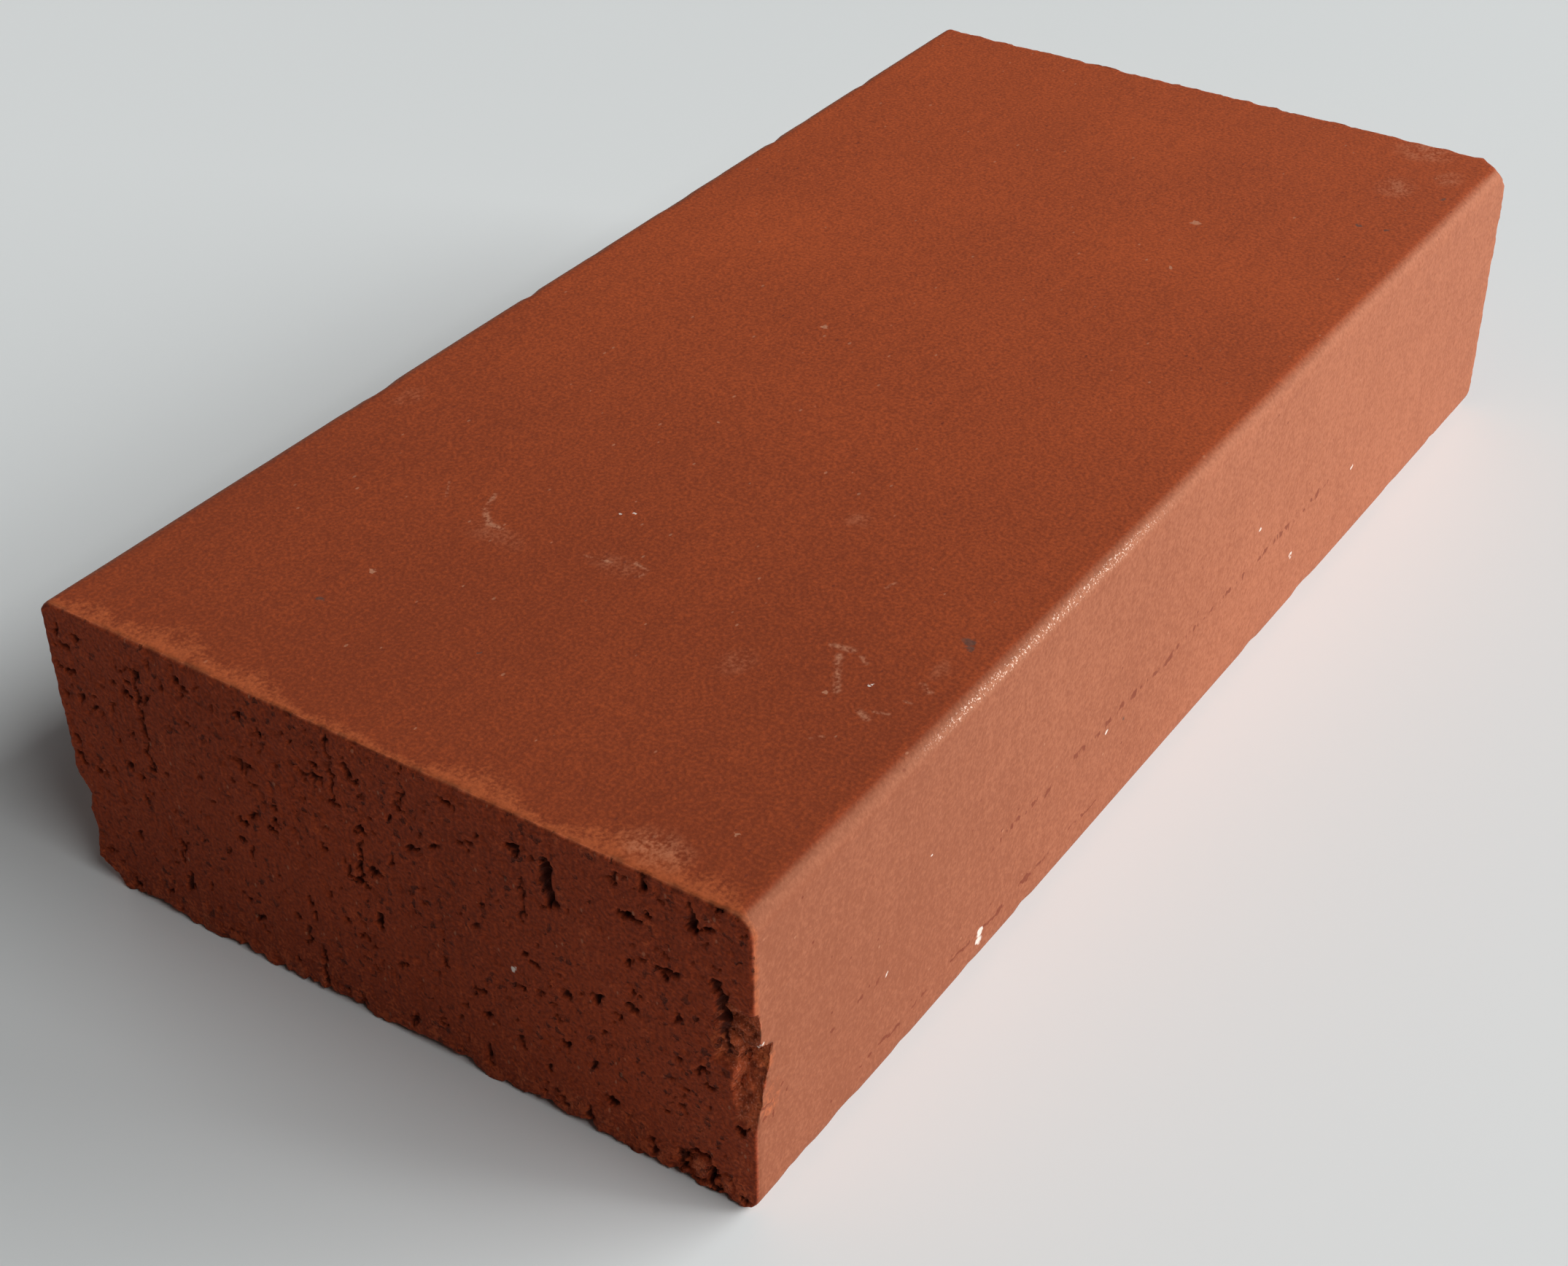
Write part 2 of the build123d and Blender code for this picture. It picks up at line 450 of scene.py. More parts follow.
def rounded_brick(points, on_end, shape):
    """Round the sharp brick's arrises, the long ones by the die and those round the ends by rubbing.

    A point on the skin less than the rubbed radius from the end takes the first half of a quarter
    circle, by its distance; a point on the end takes the second half, by its depth under the rim.
    Gives the places, their outward normals, and how far each has turned from skin (0) to end (1).
    """
    x, y, z = points.T
    end = np.sign(x)
    y, z, depth, across, upward = rounded_section(x, y, z, shape)
    rim = np.stack([end * LENGTH, y + across * depth, z + upward * depth], axis=1)
    uneven = 0.75 * lattice_noise(rim, 2.2 * MM, 11) + 0.5 * lattice_noise(rim, 0.8 * MM, 12)
    crumbled = 1.0 + shape.crumbled_foot * smooth(0.3, 0.9, -upward)
    worn = shape.wire_arris * crumbled * np.maximum(1.0 + uneven, 0.12)
    along = RIGHT - np.abs(x)
    depth = np.where(on_end, depth, 0.0)
    distance = np.where(on_end, depth, along)
    half_turn = np.pi / 4 * np.clip(1.0 - distance / worn, 0.0, 1.0)
    angle = np.where(on_end, np.pi / 2 - half_turn, half_turn)
    curved = distance < worn
    back = np.where(curved, worn * (1.0 - np.sin(angle)), np.where(on_end, 0.0, along))
    inset = np.where(curved, worn * (1.0 - np.cos(angle)), depth)
    placed = np.stack([end * (RIGHT - back), rim[:, 1] - across * inset, rim[:, 2] - upward * inset], axis=1)
    normals = np.stack([end * np.sin(angle), across * np.cos(angle), upward * np.cos(angle)], axis=1)
    return placed, normals, angle / (np.pi / 2)


def metres(table):
    """A table in millimetres as an array in metres."""
    return np.array(table) * MM


def pit_depths(y, z, pits):
    """Depth of the deepest pit at each point: each pit is an ellipse with a flat floor and steep sides."""
    depth = np.zeros(len(y))
    for across, up, half_width, half_height, deep in pits:
        reach = np.hypot((y - across) / half_width, (z - up) / half_height)
        depth = np.maximum(depth, deep * smooth(1.05, 0.55, reach))
    return depth


def slit_depths(y, z, slits):
    """Depth of the deepest slit at each point: each is a groove about an upright line with round ends."""
    depth = np.zeros(len(y))
    for across, top, bottom, half_width, deep in slits:
        beyond = np.maximum(np.maximum(z - top, bottom - z), 0.0)
        reach = np.hypot(y - across, beyond) / half_width
        depth = np.maximum(depth, deep * smooth(1.5, 0.4, reach))
    return depth


def stone_heights(y, z, stones):
    """Height of each stone, as half an egg that is sunk by half, and the depth of the gap round it."""
    height = np.zeros(len(y))
    gap = np.zeros(len(y))
    for across, up, half_width, half_height, proud in stones:
        reach = np.hypot((y - across) / half_width, (z - up) / half_height)
        half_egg = np.sqrt(np.maximum(1.0 - reach**2, 0.0))
        height += proud * (half_egg - 0.5 * smooth(1.1, 0.9, reach))
        gap = np.maximum(gap, proud * smooth(1.5, 1.2, reach) * smooth(0.8, 1.05, reach))
    return height, gap


def random_pits(count, largest, seed):
    """Pits strewn over an end: many small and few large, most a little wider or higher than round.

    Largest is in millimetres. The rows are in metres, in the order of the torn pits.
    """
    draw = np.random.default_rng(seed)
    across = draw.uniform(-0.49, 0.49, count) * WIDTH
    up = draw.uniform(0.01, 0.99, count) * HEIGHT
    size = largest * MM * (0.3 + 0.7 * draw.random(count) ** 2.5)
    shape = draw.uniform(0.65, 1.55, count)
    deep = size * draw.uniform(0.9, 1.6, count)
    return np.stack([across, up, size * shape, size / shape, deep], axis=1)


def random_slits(count, seed):
    """Drag slits strewn over an end: across, top, bottom, half width, depth."""
    draw = np.random.default_rng(seed)
    across = draw.uniform(-0.47, 0.47, count) * WIDTH
    top = draw.uniform(0.15, 1.0, count) * HEIGHT
    bottom = top - draw.uniform(0.05, 0.3, count) * HEIGHT
    half_width = draw.uniform(0.2, 0.5, count) * MM
    deep = draw.uniform(0.5, 1.6, count) * MM
    return np.stack([across, top, bottom, half_width, deep], axis=1)


def with_crumbs(pits, seed):
    """Each pit with two smaller ones at its edge, where crumbs came away with it."""
    draw = np.random.default_rng(seed)
    beside = np.repeat(pits, 2, axis=0)
    turn = draw.uniform(0.0, 2 * np.pi, len(beside))
    beside[:, 0] += 1.25 * beside[:, 2] * np.cos(turn)
    beside[:, 1] += 1.25 * beside[:, 3] * np.sin(turn)
    beside[:, 2:] *= draw.uniform(0.35, 0.7, (len(beside), 1))
    return np.concatenate([pits, beside])


def wire_cut_relief(points, pits, slits, stones, shape, seed):
    """Relief of a wire-cut end, in metres, with its pit depths.

    Upright streaks and grains are noises, stretched upwards for the streaks. The grains are folded
    at zero, which leaves sharp ridges between them. Pits and slits are cut after their places have
    been shifted by noises of two sizes, which tear their outlines. A fringe of upright teeth stands
    at the foot, where the wire left the clay, and a narrower one at the top.
    """
    streaks = rough_noise(points, (9 * MM, 0.9 * MM, 9 * MM), 2, seed)
    waves = lattice_noise(points, 14 * MM, seed + 10)
    torn_zone = 1.0 + 0.6 * lattice_noise(points, 11 * MM, seed + 12)
    grains = 0.5 - np.abs(rough_noise(points, 1.3 * MM, 3, seed + 20))
    y, z = (
        points[:, axis]
        + shape.tear * lattice_noise(points, 1.1 * MM, seed + 30 + axis)
        + 0.7 * shape.tear * lattice_noise(points, 0.5 * MM, seed + 40 + axis)
        for axis in (1, 2)
    )
    proud, gap = stone_heights(y, z, stones)
    floor = 0.8 + 0.6 * lattice_noise(points, 0.5 * MM, seed + 50)
    pit = floor * shape.pit_scale * np.maximum(pit_depths(y, z, pits), slit_depths(y, z, slits))
    teeth = rough_noise(points, (8 * MM, 1.1 * MM, 6 * MM), 2, seed + 60)
    clods = lattice_noise(points, (8 * MM, 4 * MM, 3 * MM), seed + 70)
    foot = smooth(6 * MM, 0.5 * MM, points[:, 2]) * (teeth + 1.2 * clods)
    lip = smooth(HEIGHT - 2.5 * MM, HEIGHT, points[:, 2]) * teeth
    relief = shape.drag_relief * (streaks + 1.5 * waves) + shape.grain_relief * torn_zone * grains
    return relief + shape.fringe * (foot + lip) - pit + proud - 0.5 * gap, pit


def ball_for(run, bite):
    """Radius of the ball that bites this deep below a line, along this run of it."""
    return (run**2 / 4 + bite**2) / (2 * bite)


def knocked_out(points, centre, radius, roughness, seed):
    """Push the points inside a rough ball out to its surface, as a shell-shaped break; gives a mask too."""
    off = points - centre
    reach = np.linalg.norm(off, axis=1)
    wanted = radius + roughness * rough_noise(points, 1.6 * MM, 3, seed)
    stretch = np.maximum(wanted / np.maximum(reach, 1e-9), 1.0)
    return centre + off * stretch[:, None], smooth(-0.1 * MM, 0.25 * MM, wanted - reach)


def split_off(points, splits, lumps, shape, seed):
    """Push the left end inwards where clay split away; gives a mask too.

    Each split has a floor that slopes evenly from its bottom to its top, and steep ragged edges. A
    point nearer to the end than the floor goes to that floor, but keeps a little of its distance, so
    that the rows stay in order.
    """
    ragged = 0.6 * MM
    riser = 0.25 * MM
    kept_order = 0.03
    y, z = (
        points[:, axis] + ragged * rough_noise(points, 1.6 * MM, 3, seed + 10 * axis) for axis in (1, 2)
    )
    deep = np.zeros(len(points))
    for inner, bottom, top, low, high in splits:
        slope = low + (high - low) * np.clip((z - bottom) / (top - bottom), 0.0, 1.0)
        inside = smooth(riser, -riser, y - inner) * smooth(-riser, riser, z - bottom)
        inside = inside * smooth(riser, -riser, z - top)
        deep = np.maximum(deep, slope * inside)
    proud, gap = stone_heights(y, z, lumps)
    rough = shape.break_relief * rough_noise(points, 1.3 * MM, 3, seed + 5)
    deep = deep + smooth(0.0, 0.6 * MM, deep) * (rough - proud + 0.4 * gap)
    floor = LEFT + np.maximum(deep, 0.0)
    moved = points.copy()
    moved[:, 0] = np.where(points[:, 0] < floor, floor - kept_order * (floor - points[:, 0]), points[:, 0])
    return moved, smooth(0.1 * MM, 0.5 * MM, floor - points[:, 0])


def worn_flat(points, corner, way, depth, seed):
    """Take off what lies beyond a rough plane this far inside a corner; gives a mask too."""
    way = np.array(way) / np.linalg.norm(way)
    beyond = (points - corner) @ way + depth + 0.25 * MM * rough_noise(points, 2.0 * MM, 2, seed)
    return points - np.maximum(beyond, 0.0)[:, None] * way, smooth(-0.3 * MM, 0.5 * MM, beyond)


def burr_share(points, burrs):
    """How far each point lies within the pressed burr: 1 at the left end, 0 at the burr's reach."""
    reach = np.full(len(points), 1.0 * MM)
    for across, half_width, along in burrs:
        reach += along * np.exp(-(((points[:, 1] - across) / half_width) ** 2))
    return np.clip(1.0 - (points[:, 0] - LEFT) / reach, 0.0, 1.0)


def carved_brick(shape):
    """The whole brick as numpy arrays: places, faces, and the masks that the finish reads."""
    points, on_end, faces = brick_grid(shape)
    placed, normals, turned = rounded_brick(points, on_end, shape)
    left = points[:, 0] < 0
    end_share = smooth(0.35, 0.75, turned)
    sideways, upward = np.abs(normals[:, 1]), np.abs(normals[:, 2])
    arris = (1.0 - end_share) * smooth(0.05, 0.5, np.minimum(sideways, upward))

    relief = np.zeros(len(placed))
    pit = np.zeros(len(placed))
    named_pits = metres(TORN_PITS) * (1.0, 1.0, shape.pit_width, shape.pit_width, 1.0)
    left_pits = np.concatenate([with_crumbs(named_pits, 70), random_pits(*LEFT_SMALL_PITS, 71)])
    large_pits = random_pits(*RIGHT_LARGE_PITS, 72)
    right_pits = np.concatenate([with_crumbs(large_pits, 73), random_pits(*RIGHT_SMALL_PITS, 74)])
    ends = (
        (left, left_pits, metres(DRAG_SLITS), metres(BARE_STONES), 100),
        (~left, right_pits, random_slits(RIGHT_SLIT_COUNT, 75), (), 300),
    )
    for chosen, pits, slits, stones, seed in ends:
        chosen = chosen & (turned > 0.2)
        relief[chosen], pit[chosen] = wire_cut_relief(placed[chosen], pits, slits, stones, shape, seed)
    relief *= end_share
    pit *= end_share

    streaks = rough_noise(placed, (30 * MM, 1.4 * MM, 1.4 * MM), 2, 500)
    dents = lattice_noise(placed, (18 * MM, 9 * MM, 9 * MM), 510)
    nibbles = smooth(0.25, 0.8, rough_noise(placed, (4 * MM, 3 * MM, 3 * MM), 2, 520))
    relief += (1.0 - end_share) * (shape.skin_relief * (streaks + 2 * dents) - shape.nibble * arris * nibbles)
    placed = placed + normals * relief[:, None]

    broken = np.zeros(len(placed))
    for k, (across, up, run, bite, way_out) in enumerate(BACK_BREAKS):
        way = np.array(way_out) / np.linalg.norm(way_out)
        radius = ball_for(run, bite) * MM
        centre = np.array([LEFT, across * MM, up * MM]) + way * (radius - bite * MM)
        placed, mask = knocked_out(placed, centre, radius, shape.break_relief, 600 + 10 * k)
        broken = np.maximum(broken, mask)
    placed, split = split_off(placed, metres(FRONT_SPLITS), metres(SPLIT_LUMPS), shape, 700)
    corner = np.array([RIGHT, -WIDTH / 2, HEIGHT])
    placed, worn = worn_flat(placed, corner, (1, -1, 1), shape.worn_corner, 720)
    placed[:, 2] = np.maximum(placed[:, 2], 0.0)

    front_top = (points[:, 1] < 0) & (points[:, 2] > HEIGHT / 2)
    x = points[:, 0]
    rubbed_most = smooth(*metres(RUB_STARTS), x) * smooth(*metres(RUB_ENDS), x)
    masks = {
        "cut": smooth(0.3, 0.6, turned),
        # The pit mask darkens the colour in pits: partly their darker clay, partly painted shade in the
        # hollows.
        "pit": np.clip(pit / (1.0 * MM), 0.0, 1.0),
        "broken": np.maximum.reduce([broken, split, 0.6 * worn]),
        "bed": smooth(0.85, 0.995, upward),
        # The front top arris: rubbed clay, and in the colour a pale band that is partly dust and partly a
        # painted highlight.
        "rub": front_top * smooth(0.3, 0.6, sideways) * smooth(0.2, 0.5, upward) * (0.3 + 0.7 * rubbed_most),
        "burr": (placed[:, 2] > HEIGHT / 2) * (1.0 - end_share) * burr_share(placed, metres(TOP_BURRS)),
    }
    return placed, faces, masks


def new_mesh_object(name, points, faces, masks):
    """Put arrays into a smooth-shaded mesh object at the origin, with each mask as a point attribute."""
    mesh = bpy.data.meshes.new(name)
    mesh.from_pydata(points, [], faces)
    mesh.polygons.foreach_set("use_smooth", np.ones(len(mesh.polygons), bool))
    for mask, values in masks.items():
        attribute = mesh.attributes.new(mask, "FLOAT", "POINT")
        attribute.data.foreach_set("value", np.ascontiguousarray(values, np.float32))
    mesh.update()
    if mesh.validate():
        raise RuntimeError(f"the mesh of {name} had faulty faces")
    made = bpy.data.objects.new(name, mesh)
    bpy.context.scene.collection.objects.link(made)
    return made


def place(tree, kind, inputs=None, **options):
    """Add a node, set its options, and give each input a value or a link; inputs go by name or number."""
    made = tree.nodes.new("ShaderNode" + kind)
    for name, value in options.items():
        setattr(made, name, value)
    for name, value in (inputs or {}).items():
        if isinstance(value, bpy.types.NodeSocket):
            tree.links.new(value, made.inputs[name])
        else:
            made.inputs[name].default_value = value
    return made


def maths(tree, operation, *values, clamp=False):
    """One Math node; gives its output."""
    return place(tree, "Math", dict(enumerate(values)), operation=operation, use_clamp=clamp).outputs[0]


def vector_maths(tree, operation, *values):
    """One Vector Math node; gives its outputs."""
    return place(tree, "VectorMath", dict(enumerate(values)), operation=operation).outputs


def product(tree, first, *others):
    """Chain of multiplications; gives the last output."""
    for value in others:
        first = maths(tree, "MULTIPLY", first, value)
    return first


def blend(tree, share, low, high):
    """Mix two colours by a share; gives the colour."""
    return place(tree, "Mix", {0: share, 6: low, 7: high}, data_type="RGBA").outputs[2]


def mixed(tree, share, low, high):
    """Mix two values by a share; gives the value."""
    return place(tree, "Mix", {0: share, 2: low, 3: high}).outputs[0]


def part_way(tree, share, first, second):
    """Mix two vectors by a share; gives the vector."""
    return place(tree, "Mix", {0: share, 4: first, 5: second}, data_type="VECTOR").outputs[1]


def between(tree, value, low, high):
    """S-curve from 0 at low to 1 at high; gives its output."""
    inputs = {"Value": value, "From Min": low, "From Max": high}
    return place(tree, "MapRange", inputs, interpolation_type="SMOOTHSTEP").outputs[0]


def noise(tree, vector, scale, detail=3.0):
    """Value of a noise texture; gives its output."""
    return place(tree, "TexNoise", {"Vector": vector, "Scale": scale, "Detail": detail}).outputs[0]


def mask_named(tree, name):
    """Output of the node that reads a point mask of the mesh."""
    return place(tree, "Attribute", attribute_name=name).outputs["Fac"]


def scaled(tree, vector, factors):
    """A vector with each part multiplied by its own factor."""
    return vector_maths(tree, "MULTIPLY", vector, factors)["Vector"]


def shaken(tree, vector, scale, reach):
    """A vector shifted by a noise of its own in each direction."""
    shift = place(tree, "TexNoise", {"Vector": vector, "Scale": scale, "Detail": 2.0}).outputs["Color"]
    shift = vector_maths(tree, "SUBTRACT", shift, (0.5, 0.5, 0.5))["Vector"]
    return vector_maths(tree, "MULTIPLY_ADD", shift, (reach, reach, reach), vector)["Vector"]


def new_group(name, inputs, outputs):
    """A shader node group with named sockets; gives the tree and its input and output sockets."""
    tree = bpy.data.node_groups.new(name, "ShaderNodeTree")
    for socket, (kind, value) in inputs.items():
        made = tree.interface.new_socket(socket, in_out="INPUT", socket_type="NodeSocket" + kind)
        if value is not None:
            made.default_value = value
    for socket in outputs:
        tree.interface.new_socket(socket, in_out="OUTPUT", socket_type="NodeSocketFloat")
    return tree, tree.nodes.new("NodeGroupInput").outputs, tree.nodes.new("NodeGroupOutput").inputs


def use_group(tree, group, inputs):
    """Place a node group with its own values; gives its outputs."""
    return place(tree, "Group", inputs, node_tree=group).outputs


def grain_group():
    """Clay grain: noises of three sizes, weighted into one tone, and the two finer into one height."""
    inputs = {
        "Vector": ("Vector", None),
        "Cloud Scale": ("Float", 40.0),
        "Coarse Scale": ("Float", 480.0),
        "Fine Scale": ("Float", 2100.0),
    }
    tree, given, result = new_group("Clay Grain", inputs, ("Tone", "Height", "Cloud"))
    cloud, coarse, fine = (
        noise(tree, given["Vector"], given[size + " Scale"]) for size in ("Cloud", "Coarse", "Fine")
    )
    height = mixed(tree, 0.55, coarse, fine)
    tone = mixed(tree, 0.82, coarse, fine)
    tree.links.new(mixed(tree, 0.18, tone, cloud), result["Tone"])
    tree.links.new(height, result["Height"])
    tree.links.new(cloud, result["Cloud"])
    return tree


def fleck_group():
    """Flecks: round spots in the cells of a Voronoi pattern, pale in one share of them, dark in another."""
    inputs = {
        "Vector": ("Vector", None),
        "Scale": ("Float", 560.0),
        "Pale Share": ("Float", 0.06),
        "Dark Share": ("Float", 0.20),
        "Size": ("Float", 0.15),
    }
    tree, given, result = new_group("Flecks", inputs, ("Pale", "Dark"))
    cells = place(tree, "TexVoronoi", {"Vector": given["Vector"], "Scale": given["Scale"]}).outputs
    chance = place(tree, "SeparateColor", {"Color": cells["Color"]}).outputs
    reach = maths(tree, "MULTIPLY", given["Size"], maths(tree, "ADD", chance[1], 0.5))
    inside = between(tree, maths(tree, "DIVIDE", cells["Distance"], reach), 1.1, 0.5)
    pale = maths(tree, "LESS_THAN", chance[0], given["Pale Share"])
    dark = maths(tree, "GREATER_THAN", chance[0], maths(tree, "SUBTRACT", 1.0, given["Dark Share"]))
    tree.links.new(maths(tree, "MULTIPLY", pale, inside), result["Pale"])
    tree.links.new(maths(tree, "MULTIPLY", dark, inside), result["Dark"])
    return tree


def torn_speck_group():
    """Torn specks: the low spots of a fine noise, only where a coarse noise is high."""
    inputs = {
        "Vector": ("Vector", None),
        "Scale": ("Float", 800.0),
        "Zone Scale": ("Float", 110.0),
    }
    tree, given, result = new_group("Torn Specks", inputs, ("Mask",))
    low = between(tree, noise(tree, given["Vector"], given["Scale"]), 0.41, 0.31)
    zone = between(tree, noise(tree, given["Vector"], given["Zone Scale"], 1.0), 0.36, 0.60)
    tree.links.new(maths(tree, "MULTIPLY", low, zone), result["Mask"])
    return tree


def patch_group():
    """Patch: 1 in the core of an egg of these half sizes about a place, and 0 just outside the egg."""
    inputs = {
        "Vector": ("Vector", None),
        "Place": ("Vector", (0.0, 0.0, 0.0)),
        "Half Size": ("Vector", (MM, MM, MM)),
        "Core": ("Float", 0.7),
    }
    tree, given, result = new_group("Patch", inputs, ("Mask",))
    off = vector_maths(tree, "SUBTRACT", given["Vector"], given["Place"])["Vector"]
    share = vector_maths(tree, "DIVIDE", off, given["Half Size"])["Vector"]
    reach = vector_maths(tree, "LENGTH", share)["Value"]
    tree.links.new(between(tree, reach, 1.2, given["Core"]), result["Mask"])
    return tree


def scratch_group():
    """Scratch: 1 on the straight run between two places, falling to 0 a little past its half width.

    The way from the start to a point, times the run and over the run's square, both as dot products,
    is kept from 0 to 1. It is the share of the run at which the point's nearest place lies.
    """
    inputs = {
        "Vector": ("Vector", None),
        "From": ("Vector", (0.0, 0.0, 0.0)),
        "To": ("Vector", (MM, 0.0, 0.0)),
        "Half Width": ("Float", 0.3 * MM),
    }
    tree, given, result = new_group("Scratch", inputs, ("Mask",))
    off = vector_maths(tree, "SUBTRACT", given["Vector"], given["From"])["Vector"]
    run = vector_maths(tree, "SUBTRACT", given["To"], given["From"])["Vector"]
    along = vector_maths(tree, "DOT_PRODUCT", off, run)["Value"]
    whole = vector_maths(tree, "DOT_PRODUCT", run, run)["Value"]
    share = maths(tree, "DIVIDE", along, whole, clamp=True)
    nearest = vector_maths(tree, "MULTIPLY", run, share)["Vector"]
    distance = vector_maths(tree, "DISTANCE", off, nearest)["Value"]
    reach = maths(tree, "DIVIDE", distance, given["Half Width"])
    tree.links.new(between(tree, reach, 1.6, 0.0), result["Mask"])
    return tree


def torn_row_group():
    """Torn row: dots along X at one height of the front, from one place to another."""
    inputs = {
        "Vector": ("Vector", None),
        "Dots": ("Float", 1.0),
        "From": ("Float", -50 * MM),
        "To": ("Float", 50 * MM),
        "Height": ("Float", 16 * MM),
        "Half Width": ("Float", 0.2 * MM),
    }
    tree, given, result = new_group("Torn Row", inputs, ("Mask",))
    x, y, z = place(tree, "SeparateXYZ", {"Vector": given["Vector"]}).outputs
    off = maths(tree, "ABSOLUTE", maths(tree, "SUBTRACT", z, given["Height"]))
    near = between(tree, maths(tree, "DIVIDE", off, given["Half Width"]), 2.2, 0.2)
    starts = between(tree, maths(tree, "SUBTRACT", x, given["From"]), 0.0, 8 * MM)
    ends = between(tree, maths(tree, "SUBTRACT", given["To"], x), 0.0, 8 * MM)
    front = between(tree, y, -47.5 * MM, -48.5 * MM)
    faint = product(tree, near, given["Dots"], starts, ends, front)
    tree.links.new(between(tree, faint, 0.12, 0.42), result["Mask"])
    return tree


class ClayNodes:
    """The tree of the clay finish, with its groups, the mesh's masks, and what all kinds of clay share."""

    def __init__(self, tree, finish):
        self.tree = tree
        self.finish = finish
        self.patch = patch_group()
        self.scratch = scratch_group()
        self.row = torn_row_group()
        names = ("cut", "pit", "broken", "bed", "rub", "burr")
        self.masks = {name: mask_named(tree, name) for name in names}
        self.where = place(tree, "TexCoord").outputs["Object"]
        self.along, _, self.up = place(tree, "SeparateXYZ", {"Vector": self.where}).outputs
        self.ragged = shaken(tree, self.where, RAGGED_SCALE, 1.6 * MM)
        wavering = shaken(tree, self.where, WAVER_SCALE, 9 * MM)
        self.wandering = part_way(tree, 0.3, self.ragged, wavering)
        self.frayed = part_way(tree, 0.4, self.where, self.ragged)
        self.grain = use_group(tree, grain_group(), {"Vector": self.where})
        self.uneven = maths(tree, "SUBTRACT", self.grain["Height"], 0.5)
        self.powder = between(tree, self.grain["Height"], 0.40, 0.64)
        self.flecks = use_group(tree, fleck_group(), {"Vector": scaled(tree, self.where, (1.0, 1.8, 1.0))})
        self.specks = use_group(tree, torn_speck_group(), {"Vector": self.where})["Mask"]
        # Painted glints: pale specks where a fine noise is high, standing in for light glinting off bare
        # grains; on the arris they are kept to the rubbed band.
        self.glint = between(tree, noise(tree, self.where, GLINT_SCALE, 1.0), 0.58, 0.68)
        rubbed = between(tree, self.masks["rub"], 0.45, 1.0)
        self.arris_painted_glint = maths(tree, "MULTIPLY", self.glint, rubbed)

    def marked(self, colour, marks):
        """A colour with marks laid over it in order: each has a mask, the share that shows, and a tint."""
        for mask, share, tint in marks:
            colour = blend(self.tree, maths(self.tree, "MULTIPLY", mask, share), colour, tint[:])
        return colour

    def highest(self, group, placings):
        """Place a group once for each set of inputs; gives the highest of its masks."""
        total = 0.0
        for inputs in placings:
            total = maths(self.tree, "MAXIMUM", use_group(self.tree, group, inputs)["Mask"], total)
        return total

    def patches(self, vector, places, core=0.7):
        """Mask of the patches at these places, each given in millimetres with its half sizes."""
        placings = (
            {
                "Vector": vector,
                "Place": (x * MM, y * MM, z * MM),
                "Half Size": (half_x * MM, half_y * MM, half_z * MM),
                "Core": core,
            }
            for x, y, z, half_x, half_y, half_z in places
        )
        return self.highest(self.patch, placings)

    def scratches(self, vector, runs):
        """Mask of the scratches on the top, each from one place to another in millimetres."""
        placings = (
            {
                "Vector": vector,
                "From": (from_x * MM, from_y * MM, HEIGHT),
                "To": (to_x * MM, to_y * MM, HEIGHT),
                "Half Width": half_width * MM,
            }
            for from_x, from_y, to_x, to_y, half_width in runs
        )
        return self.highest(self.scratch, placings)

    def torn_rows(self, vector, dots, rows):
        """Mask of the rows of dots on the front, each from one place along it to another."""
        placings = (
            {
                "Vector": vector,
                "Dots": dots,
                "From": start * MM,
                "To": end * MM,
                "Height": height * MM,
                "Half Width": half_width * MM,
            }
            for start, end, height, half_width in rows
        )
        return self.highest(self.row, placings)


def round_places(table):
    """Places with one half size, as places with three."""
    return [(x, y, z, half, half, half) for x, y, z, half in table]


def on_top(table):
    """Places on the top with two half sizes, as places with three."""
    return [(x, y, HEIGHT / MM, half_x, half_y, 4.0) for x, y, half_x, half_y in table]


def skin_tone(nodes):
    """Die skin: grain, a slow change of tone along the brick that is painted shade, darker towards the left
    end, and upright streaks on the sides, whose tones carry a painted sheen.
    """
    tree, finish, bed = nodes.tree, nodes.finish, nodes.masks["bed"]
    # Painted shade: the tone is lowered towards the left end, standing in for less light there.
    from_left = between(tree, nodes.along, LEFT, 50 * MM)
    painted_falloff_tone = mixed(tree, from_left, -0.09, 0.01)
    streak = noise(tree, scaled(tree, nodes.where, (1.0, 1.0, 0.06)), STREAK_SCALE, 1.0)
    streak = product(tree, maths(tree, "SUBTRACT", streak, 0.5), maths(tree, "SUBTRACT", 1.0, bed), 0.09)
    tone = maths(tree, "ADD", maths(tree, "ADD", nodes.grain["Tone"], painted_falloff_tone), streak)
    tone = between(tree, tone, 0.27, 0.73)
    # The sides take paler tones than the beds: partly the clay of the die skin, partly a painted sheen, the
    # pale reflection of the floor laid into the colour.
    side_colour_with_sheen = blend(tree, tone, finish.side_dark_with_sheen[:], finish.side_light_with_sheen[:])
    bed_colour = blend(tree, tone, finish.bed_dark[:], finish.bed_light[:])
    colour = blend(tree, bed, side_colour_with_sheen, bed_colour)
    # Painted shade: the skin at the left end is blended towards the tone of pits.
    painted_left_shade = mixed(tree, from_left, finish.left_painted_shade_share, 0.0)
    return blend(tree, painted_left_shade, colour, finish.pit_and_shade_colour[:])


